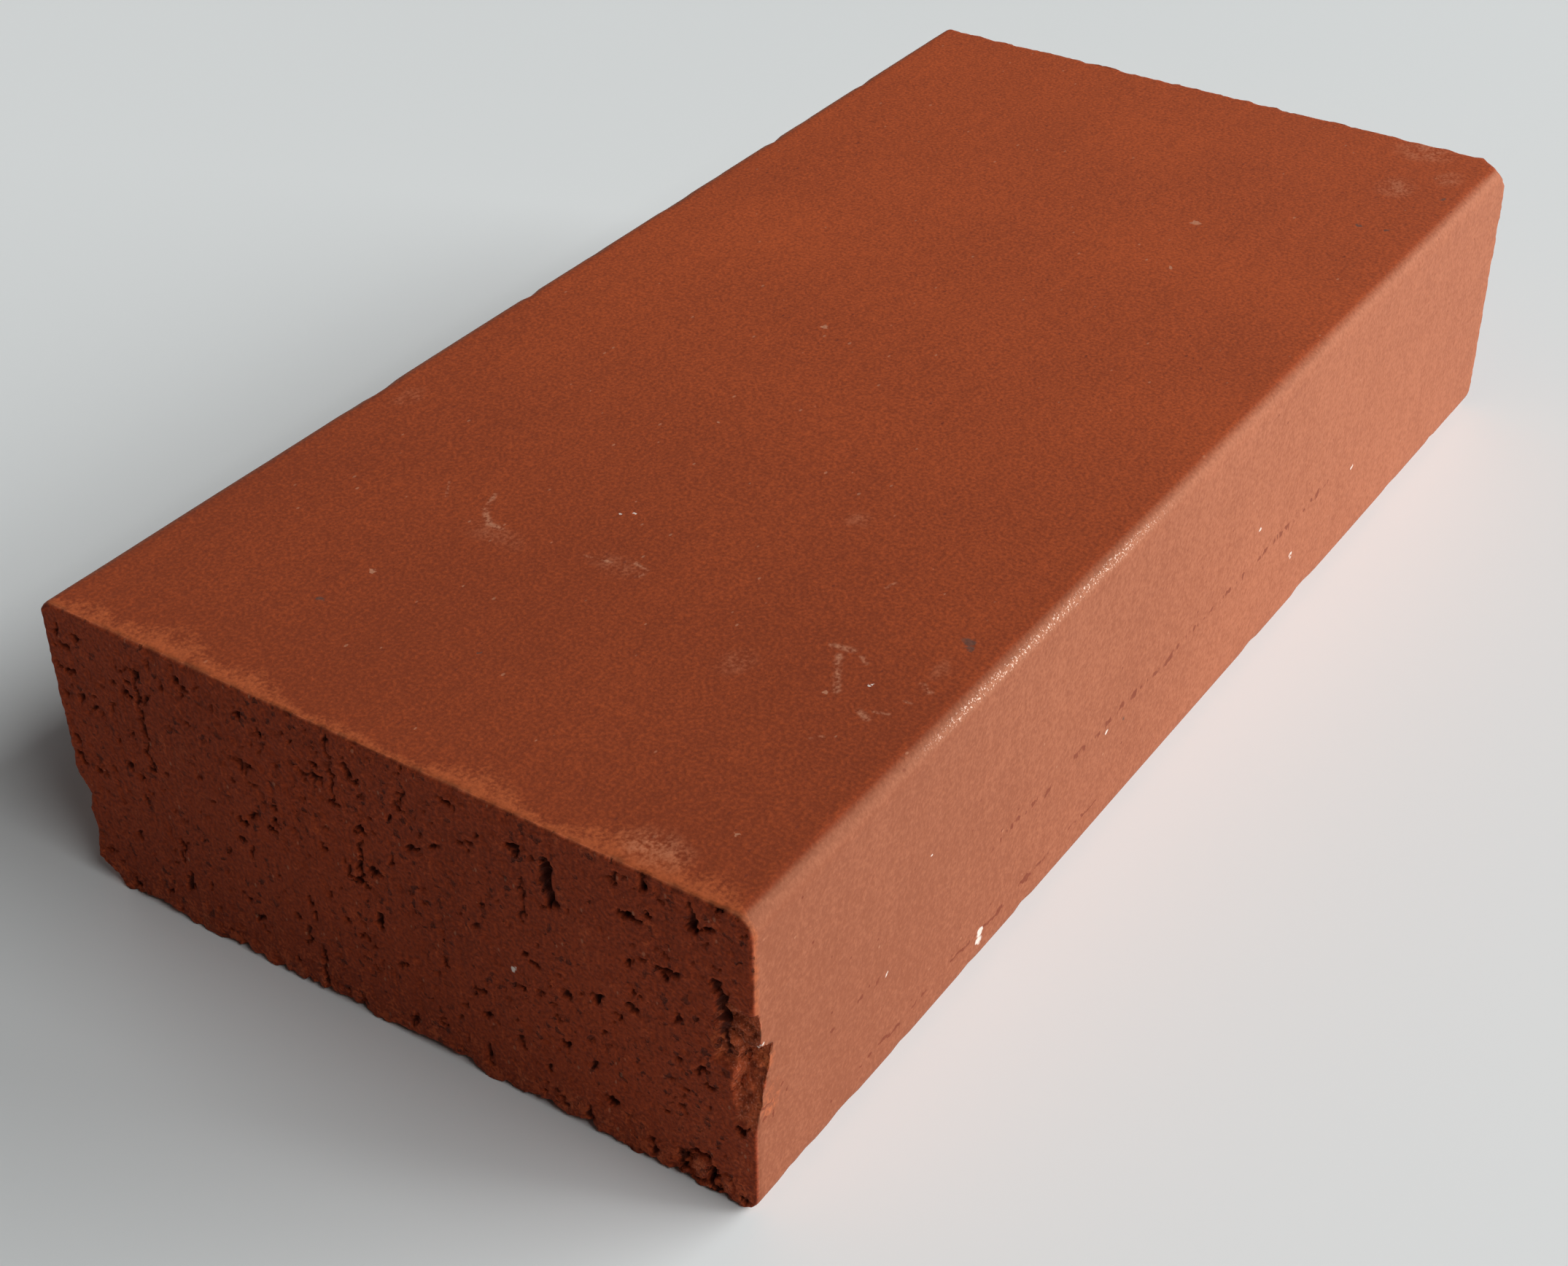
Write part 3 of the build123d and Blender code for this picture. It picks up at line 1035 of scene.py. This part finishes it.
def marked_skin(nodes):
    """Die skin with its marks: flecks, torn rows, the pressed burr, dust, and the rubbed arris, whose pale
    band is partly dust and partly a painted highlight, with painted glints.
    """
    tree, finish, masks = nodes.tree, nodes.finish, nodes.masks
    thin_cloud = between(tree, nodes.grain["Cloud"], 0.62, 0.40)
    dark_flecks = maths(tree, "MULTIPLY", nodes.flecks["Dark"], thin_cloud)
    dots = between(tree, noise(tree, scaled(tree, nodes.where, (1.0, 0.0, 0.5)), DOT_SCALE), 0.46, 0.60)
    clusters = noise(tree, scaled(tree, nodes.where, (1.0, 0.0, 0.0)), CLUSTER_SCALE, 1.0)
    dots = maths(tree, "MULTIPLY", dots, between(tree, clusters, 0.30, 0.50))
    burr_edge = between(tree, maths(tree, "MULTIPLY_ADD", nodes.uneven, 3.2, masks["burr"]), 0.0, 1.0)
    burr = maths(tree, "MULTIPLY", burr_edge, between(tree, masks["burr"], 0.0, 0.5))
    scuffs = nodes.patches(nodes.wandering, on_top(TOP_SCUFFS), core=0.2)
    corner_dust = nodes.patches(nodes.wandering, on_top(TOP_DUST), core=0.2)
    scratches = nodes.scratches(nodes.frayed, TOP_SCRATCHES)
    marks = (
        (nodes.flecks["Pale"], finish.pale_fleck_share, finish.dust),
        (dark_flecks, finish.dark_fleck_share, finish.torn_colour),
        (nodes.torn_rows(nodes.wandering, dots, TORN_ROWS), finish.torn_share, finish.torn_colour),
        (burr, finish.burr_share, finish.burr_colour),
        (maths(tree, "MULTIPLY", scuffs, nodes.powder), finish.scuff_share, finish.dust),
        (maths(tree, "MULTIPLY", corner_dust, nodes.powder), finish.corner_dust_share, finish.dust),
        (maths(tree, "MULTIPLY", scratches, nodes.powder), finish.scratch_share, finish.dust),
        # Pale band on the front top arris: partly rubbed dust, partly a painted highlight.
        (masks["rub"], finish.rub_dust_and_highlight_share, finish.dust),
    )
    colour = nodes.marked(skin_tone(nodes), marks)
    # Painted highlight: the glints of bare grains on the rubbed arris, laid into the colour.
    return blend(tree, nodes.arris_painted_glint, colour, finish.painted_glint_colour[:])


def cut_clay(nodes):
    """Wire-cut ends: darker clay with torn specks, and red crumbs that are thickest at the foot."""
    tree, finish = nodes.tree, nodes.finish
    tone = between(tree, nodes.grain["Tone"], 0.34, 0.66)
    colour = blend(tree, tone, finish.cut_dark[:], finish.cut_light[:])
    foot = between(tree, nodes.up, 9 * MM, 0.0)
    crumbs = between(tree, maths(tree, "MULTIPLY_ADD", foot, 0.12, nodes.grain["Height"]), 0.58, 0.68)
    marks = (
        (crumbs, finish.crumb_share, finish.crumb_colour),
        # Torn specks painted dark: partly darker clay, partly painted shade in these tiny pits.
        (nodes.specks, finish.speck_and_shade_share, finish.pit_and_shade_colour),
        (nodes.flecks["Pale"], finish.cut_fleck_share, finish.dust),
    )
    return nodes.marked(colour, marks)


def broken_clay(nodes):
    """Breaks, with bare grains whose glints are painted in as pale specks."""
    tree, finish = nodes.tree, nodes.finish
    tone = between(tree, nodes.grain["Height"], 0.38, 0.62)
    colour = blend(tree, tone, finish.break_dark[:], finish.break_light[:])
    return nodes.marked(colour, [(nodes.glint, finish.break_painted_glint_share, finish.painted_glint_colour)])


def clay_colour(nodes):
    """The three kinds of clay together, with the marks that cross from one to another."""
    tree, finish, masks = nodes.tree, nodes.finish, nodes.masks
    colour = blend(tree, masks["cut"], marked_skin(nodes), cut_clay(nodes))
    colour = blend(tree, masks["broken"], colour, broken_clay(nodes))
    rubbed = maths(tree, "MULTIPLY", nodes.patches(nodes.ragged, RUBBED_AND_LIT_CLAY, core=0.3), nodes.powder)
    # Pits darkened in the colour: partly darker clay, partly painted shade in the hollows.
    pit_shade_edge = maths(tree, "ADD", masks["pit"], product(tree, nodes.uneven, masks["pit"], 2.0))
    stones, tan, lime = (
        nodes.patches(nodes.ragged, round_places(table)) for table in (DARK_STONES, TAN_GRAINS, LIME_SPECKS)
    )
    marks = (
        # Bright clay beside the splits: rubbed bare on the front, painted light on the lit riser of a split.
        (rubbed, finish.rubbed_and_lit_clay_share, finish.burr_colour),
        (nodes.patches(nodes.ragged, SPLIT_CRACKS), finish.crack_share, finish.torn_colour),
        (between(tree, pit_shade_edge, 0.10, 0.55), finish.pit_and_shade_share, finish.pit_and_shade_colour),
        (stones, finish.stone_share, finish.stone_colour),
        (tan, finish.tan_share, finish.dust),
        (lime, finish.lime_share, finish.lime),
    )
    return nodes.marked(colour, marks)


def clay_bump(nodes, coarse):
    """Bump of the skin, the rubbed arris and the coarse clay, from heights in millimetres."""
    tree = nodes.tree
    skin, arris, cut = (
        maths(tree, "MULTIPLY", nodes.grain["Height"], bump) for bump in (SKIN_BUMP, ARRIS_BUMP, CUT_BUMP)
    )
    cut = maths(tree, "SUBTRACT", cut, maths(tree, "MULTIPLY", nodes.specks, SPECK_BUMP))
    height = mixed(tree, coarse, mixed(tree, nodes.masks["rub"], skin, arris), cut)
    return place(tree, "Bump", {"Height": height, "Strength": 1.0, "Distance": MM}).outputs[0]


def clay_roughness(nodes, coarse):
    """Roughness of the sides, the beds, the glinting grains and the coarse clay."""
    tree, finish = nodes.tree, nodes.finish
    rough = mixed(tree, nodes.masks["bed"], finish.side_roughness, finish.bed_roughness)
    rough = mixed(tree, nodes.arris_painted_glint, rough, finish.glint_roughness)
    return mixed(tree, coarse, rough, finish.cut_roughness)


def fired_clay(finish):
    """The brick's one material: die skin, wire-cut clay and breaks, mixed by the mesh's masks."""
    material = bpy.data.materials.new("fired_clay")
    material.use_nodes = True
    tree = material.node_tree
    tree.nodes.clear()
    nodes = ClayNodes(tree, finish)
    coarse = maths(tree, "MAXIMUM", nodes.masks["cut"], nodes.masks["broken"])
    inputs = {
        "Base Color": clay_colour(nodes),
        "Roughness": clay_roughness(nodes, coarse),
        "Normal": clay_bump(nodes, coarse),
        "Specular IOR Level": finish.specular_level,
    }
    shader = place(tree, "BsdfPrincipled", inputs)
    place(tree, "OutputMaterial", {"Surface": shader.outputs[0]})
    return material


def floor_finish(look):
    """A pale matt floor."""
    material = bpy.data.materials.new("pale_floor")
    material.use_nodes = True
    shader = material.node_tree.nodes["Principled BSDF"]
    shader.inputs["Base Color"].default_value = look.floor_colour[:]
    shader.inputs["Roughness"].default_value = look.floor_roughness
    return material


def colour_property(name, description, default):
    """A colour setting with its alpha."""
    return bpy.props.FloatVectorProperty(
        name=name, description=description, default=(*default, 1.0), size=4, subtype="COLOR", min=0.0, max=1.0
    )


def length_property(name, description, default):
    """A length setting, given in metres."""
    return bpy.props.FloatProperty(
        name=name, description=description, default=default, min=0.0, precision=5, unit="LENGTH"
    )


def count_property(name, description, default):
    """A setting for how many rows or columns there are."""
    return bpy.props.IntProperty(name=name, description=description, default=default, min=1)


def share_property(name, description, default):
    """A setting from 0 to 1."""
    return bpy.props.FloatProperty(
        name=name, description=description, default=default, min=0.0, max=1.0, subtype="FACTOR"
    )


def factor_property(name, description, default):
    """A setting that other values are multiplied by."""
    return bpy.props.FloatProperty(name=name, description=description, default=default, min=0.0)


def power_property(name, description, default):
    """A lamp's power in watts."""
    return bpy.props.FloatProperty(
        name=name, description=description, default=default, min=0.0, unit="POWER"
    )


def angle_property(name, description, degrees):
    """An angle, given in degrees."""
    return bpy.props.FloatProperty(
        name=name, description=description, default=math.radians(degrees), unit="ROTATION"
    )


def place_property(name, description, default):
    """A place in the scene, in metres."""
    return bpy.props.FloatVectorProperty(
        name=name, description=description, default=default, subtype="TRANSLATION", unit="LENGTH"
    )


def span_property(name, description, default):
    """A width and a height in metres."""
    return bpy.props.FloatVectorProperty(
        name=name, description=description, default=default, size=2, unit="LENGTH"
    )


class BrickShape(bpy.types.PropertyGroup):
    """Sizes of the brick's surface."""

    front_top_arris: length_property("Front top arris", "Rounding of the front top edge", 1.7 * MM)
    front_bottom_arris: length_property("Front bottom arris", "Rounding of the front bottom edge", 2.8 * MM)
    back_top_arris: length_property("Back top arris", "Rounding of the back top edge", 1.8 * MM)
    back_bottom_arris: length_property("Back bottom arris", "Rounding of the back bottom edge", 2.6 * MM)
    wire_arris: length_property("Wire arris", "Mean rubbing of the edges round the ends", 0.5 * MM)
    worn_corner: length_property("Worn corner", "Wear of the right end's front top corner", 2.4 * MM)
    skin_relief: length_property("Skin relief", "Height of the die's streaks on the long faces", 0.03 * MM)
    nibble: length_property("Nibbles", "Depth of the small bites out of the long edges", 0.25 * MM)
    drag_relief: length_property("Drag relief", "Height of the wire's streaks on the ends", 0.08 * MM)
    grain_relief: length_property("Grain relief", "Height of the grains on the ends", 0.24 * MM)
    fringe: length_property("Fringe", "Height of the teeth at the foot and top of the ends", 0.3 * MM)
    tear: length_property("Tear", "How far the outlines of pits are torn", 0.5 * MM)
    break_relief: length_property("Break relief", "Roughness of the broken places", 0.24 * MM)
    pit_scale: factor_property("Pit depth", "Factor on the depth of pits and slits", 1.3)
    pit_width: factor_property("Pit width", "Factor on the width of the named pits", 0.8)
    crumbled_foot: factor_property("Crumbled foot", "Extra rubbing of the ends' bottom edges", 1.6)
    arris_band: length_property("Arris band", "Width of the finer columns at each arris", 3.5 * MM)
    skirt: length_property("Skirt", "How far the finer rows of an end run along the brick", 6.0 * MM)
    ring_step: length_property("Ring step", "Length of the faces that join finer and plain rows", 1.2 * MM)
    arris_cells: count_property("Arris cells", "Columns in an arris band", 4)
    open_cells_across: count_property("Cells across", "Columns between the arris bands, across the width", 76)
    open_cells_up: count_property("Cells up", "Columns between the arris bands, up the height", 29)
    plain_rows: count_property("Plain rows", "Rows between the skirts", 88)
    skirt_rows: count_property("Skirt rows", "Finer rows beside each end", 9)
    left_fineness: count_property("Left fineness", "Fine columns in a plain one at the left end", 4)
    right_fineness: count_property("Right fineness", "Fine columns in a plain one at the right end", 2)


class ClayFinish(bpy.types.PropertyGroup):
    """Colours of the fired clay, and how strongly each kind of mark shows."""

    bed_dark: colour_property("Bed, dark", "Darker tone of the skin on the beds", (0.24, 0.0375, 0.0070))
    bed_light: colour_property("Bed, light", "Lighter tone of the skin on the beds", (0.46, 0.080, 0.0155))
    side_dark_with_sheen: colour_property("Side, dark", "Darker tone of the skin on the sides", (0.29, 0.085, 0.037))
    # Painted sheen: the sides' tones are paler than the beds' to carry the pale reflection of the floor, over
    # the clay of the die skin.
    side_light_with_sheen: colour_property("Side, light", "Lighter tone of the skin on the sides", (0.42, 0.142, 0.069))
    cut_dark: colour_property("Cut, dark", "Darker tone of the wire-cut ends", (0.18, 0.024, 0.006))
    cut_light: colour_property("Cut, light", "Lighter tone of the wire-cut ends", (0.36, 0.051, 0.012))
    crumb_colour: colour_property("Crumbs", "Red crumbs on the ends", (0.48, 0.085, 0.024))
    break_dark: colour_property("Break, dark", "Darker tone of broken clay", (0.22, 0.038, 0.012))
    break_light: colour_property("Break, light", "Lighter tone of broken clay", (0.46, 0.088, 0.027))
    # Partly the darker clay of pits and torn specks, partly painted shade in them; also the painted shade at
    # the left end of the skin.
    pit_and_shade_colour: colour_property("Pits", "Tone of pits, torn specks and darkest firing", (0.050, 0.009, 0.004))
    torn_colour: colour_property("Torn", "Tone of torn dots, cracks and dark flecks", (0.16, 0.025, 0.008))
    # Also the painted light on the lit riser of a split.
    burr_colour: colour_property("Burr", "Pale clay, pressed over or rubbed bare", (0.53, 0.125, 0.036))
    # Also the pale band of the front top arris, which is partly a painted highlight.
    dust: colour_property("Dust", "Dust, scratches, pale flecks and tan grains", (0.55, 0.26, 0.15))
    # Painted glints: the pale grains of the rubbed arris and the breaks, laid in as highlights.
    painted_glint_colour: colour_property("Sparkle", "Bare grains on rubbed and broken edges", (0.78, 0.52, 0.40))
    lime: colour_property("Lime", "Specks of burnt lime", (0.78, 0.66, 0.58))
    stone_colour: colour_property("Stones", "Dark stones in the skin", (0.075, 0.05, 0.04))
    side_roughness: share_property("Side roughness", "Roughness of the skin on the sides", 0.85)
    bed_roughness: share_property("Bed roughness", "Roughness of the skin on the beds", 0.85)
    cut_roughness: share_property("Cut roughness", "Roughness of the ends and breaks", 0.95)
    glint_roughness: share_property("Glint roughness", "Roughness of the grains on the rubbed edge", 0.45)
    specular_level: share_property("Specular level", "How much light the clay mirrors", 0.25)
    # Painted shade laid into the skin's colour at the left end.
    left_painted_shade_share: share_property("Left end", "Darker firing of the skin at the left end", 0.18)
    pale_fleck_share: share_property("Pale flecks", "Strength of pale flecks on the skin", 0.4)
    dark_fleck_share: share_property("Dark flecks", "Strength of dark flecks on the skin", 0.8)
    cut_fleck_share: share_property("Cut flecks", "Strength of pale flecks on the ends", 0.3)
    torn_share: share_property("Torn rows", "Strength of the torn rows on the front", 0.7)
    burr_share: share_property("Burr strength", "Strength of the pressed burr on the top", 0.5)
    scuff_share: share_property("Scuffs", "Strength of the scuffs on the top", 0.17)
    corner_dust_share: share_property("Corner dust", "Strength of the dust patches on the top", 0.32)
    scratch_share: share_property("Scratches", "Strength of the scratches on the top", 0.6)
    # Partly dust, partly a painted highlight on the front top arris.
    rub_dust_and_highlight_share: share_property("Rubbed arris", "Strength of the dust on the rubbed edge", 0.2)
    crumb_share: share_property("Crumb strength", "Strength of the red crumbs on the ends", 0.55)
    speck_and_shade_share: share_property("Torn specks", "Strength of the torn specks on the ends", 0.7)
    # Strength of the painted glints in breaks.
    break_painted_glint_share: share_property("Break glint", "Strength of the bare grains in breaks", 0.12)
    # Partly clay rubbed bare, partly painted light on the lit riser of a split.
    rubbed_and_lit_clay_share: share_property("Rubbed clay", "Strength of the clay rubbed bare", 0.7)
    crack_share: share_property("Cracks", "Strength of the cracks beside the splits", 0.7)
    pit_and_shade_share: share_property("Pit strength", "Strength of the dark in pits", 0.85)
    stone_share: share_property("Stone strength", "Strength of the dark stones", 0.7)
    tan_share: share_property("Tan grains", "Strength of the tan grains", 0.6)
    lime_share: share_property("Lime strength", "Strength of the lime specks", 0.9)


class StageLook(bpy.types.PropertyGroup):
    """Floor, light and camera."""

    floor_colour: colour_property("Floor", "Colour of the floor", (0.80, 0.83, 0.83))
    floor_roughness: share_property("Floor roughness", "Roughness of the floor", 0.6)
    front_power: power_property("Front lamp", "Power of the high soft lamp in front", 370.0)
    front_place: place_property("Front lamp place", "Where the front lamp hangs", (0.0, -5.46, 5.85))
    front_size: span_property("Front lamp size", "Its width and height", (6.5, 3.0))
    right_power: power_property("Right lamp", "Power of the low soft lamp at the right", 920.0)
    right_place: place_property("Right lamp place", "Where the right lamp hangs", (5.6, -5.05, 2.6))
    right_size: span_property("Right lamp size", "Its width and height", (8.2, 4.0))
    back_power: power_property("Back lamp", "Power of the weak lamp behind", 50.0)
    back_place: place_property("Back lamp place", "Where the back lamp hangs", (1.2, 5.0, 0.7))
    back_size: span_property("Back lamp size", "Its width and height", (6.0, 1.2))
    fill_strength: factor_property("Fill", "Strength of the light from all round", 0.03)
    camera_place: place_property("Camera", "Where the camera stands", (-0.24233, -0.15031, 0.20144))
    camera_turn: angle_property("Azimuth", "Turn of the view to the left of +Y", -55.715)
    camera_fall: angle_property("Elevation", "How far the view looks down", 35.788)
    camera_roll: angle_property("Roll", "Turn of the picture", -0.636)
    focal_pixels: bpy.props.FloatProperty(
        name="Focal length", description="Focal length in pixels of the photograph", default=3383.5, min=1.0
    )


def lay_floor(scene, look):
    """A wide flat floor under the brick: one disc."""
    turn = np.linspace(0.0, 2 * np.pi, 64, endpoint=False)
    rim = FLOOR_RADIUS * np.stack([np.cos(turn), np.sin(turn), np.zeros(len(turn))], axis=1)
    mesh = bpy.data.meshes.new("floor")
    mesh.from_pydata(rim, [], [list(range(len(turn)))])
    mesh.materials.append(floor_finish(look))
    floor = bpy.data.objects.new("floor", mesh)
    scene.collection.objects.link(floor)


def hang_lamp(scene, name, stand, size, power):
    """A soft rectangular lamp that faces the brick."""
    lamp = bpy.data.lights.new(name, "AREA")
    lamp.shape = "RECTANGLE"
    lamp.size, lamp.size_y = size
    lamp.energy = power
    hung = bpy.data.objects.new(name, lamp)
    stand = Vector(stand)
    aim = (-stand).to_track_quat("-Z", "Y").to_matrix().to_4x4()
    hung.matrix_world = Matrix.Translation(stand) @ aim
    scene.collection.objects.link(hung)


def light_brick(scene, look):
    """A high soft lamp in front, a low one at the right, a weak one behind, and a faint even fill."""
    for side in ("front", "right", "back"):
        stand, size, power = (getattr(look, f"{side}_{part}") for part in ("place", "size", "power"))
        hang_lamp(scene, f"{side}_lamp", stand, size, power)
    world = bpy.data.worlds.new("soft_room")
    world.use_nodes = True
    sky = world.node_tree.nodes["Background"]
    sky.inputs["Color"].default_value = (1.0, 1.0, 1.0, 1.0)
    sky.inputs["Strength"].default_value = look.fill_strength
    scene.world = world


def set_camera(scene, look):
    """The camera of the photograph: its place, its three turns, and its focal length."""
    camera = bpy.data.cameras.new("camera")
    camera.sensor_fit = "HORIZONTAL"
    camera.sensor_width = 36.0
    camera.lens = look.focal_pixels / PHOTO_WIDTH * camera.sensor_width
    camera.clip_start = 0.01
    eye = bpy.data.objects.new("camera", camera)
    turn = Matrix.Rotation(look.camera_turn, 4, "Z")
    fall = Matrix.Rotation(math.pi / 2 - look.camera_fall, 4, "X")
    roll = Matrix.Rotation(look.camera_roll, 4, "Z")
    eye.matrix_world = Matrix.Translation(look.camera_place) @ turn @ fall @ roll
    scene.collection.objects.link(eye)
    scene.camera = eye


class CLAY_OT_fire_brick(bpy.types.Operator):
    """Build the brick's surface and give it its fired finish"""

    bl_idname = "clay.fire_brick"
    bl_label = "Fire the brick"

    def execute(self, context):
        points, faces, masks = carved_brick(context.scene.brick_shape)
        brick = new_mesh_object("fired_brick", points, faces, masks)
        brick.data.materials.append(fired_clay(context.scene.clay_finish))
        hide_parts("brick")
        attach(brick, "root")
        return {"FINISHED"}


class CLAY_OT_set_stage(bpy.types.Operator):
    """Lay the floor, light the brick and set the camera"""

    bl_idname = "clay.set_stage"
    bl_label = "Set the stage"

    def execute(self, context):
        look = context.scene.stage_look
        lay_floor(context.scene, look)
        light_brick(context.scene, look)
        set_camera(context.scene, look)
        context.scene.view_settings.view_transform = "Standard"
        return {"FINISHED"}


class CLAY_PT_brick(bpy.types.Panel):
    """Settings and steps of the brick"""

    bl_label = "Fired clay brick"
    bl_space_type = "VIEW_3D"
    bl_region_type = "UI"
    bl_category = "Brick"

    def draw(self, context):
        for group in (context.scene.brick_shape, context.scene.clay_finish, context.scene.stage_look):
            box = self.layout.box()
            for name in group.__annotations__:
                box.prop(group, name)
        self.layout.operator(CLAY_OT_fire_brick.bl_idname)
        self.layout.operator(CLAY_OT_set_stage.bl_idname)


CLASSES = (BrickShape, ClayFinish, StageLook, CLAY_OT_fire_brick, CLAY_OT_set_stage, CLAY_PT_brick)


def register():
    """Add the settings, operators and panel to Blender."""
    for made in CLASSES:
        bpy.utils.register_class(made)
    bpy.types.Scene.brick_shape = bpy.props.PointerProperty(type=BrickShape)
    bpy.types.Scene.clay_finish = bpy.props.PointerProperty(type=ClayFinish)
    bpy.types.Scene.stage_look = bpy.props.PointerProperty(type=StageLook)


def unregister():
    """Take them out again."""
    del bpy.types.Scene.stage_look
    del bpy.types.Scene.clay_finish
    del bpy.types.Scene.brick_shape
    for made in reversed(CLASSES):
        bpy.utils.unregister_class(made)


def main():
    """Register the add-on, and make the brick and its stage."""
    register()
    bpy.ops.clay.fire_brick()
    bpy.ops.clay.set_stage()


if __name__ == "__main__":
    main()
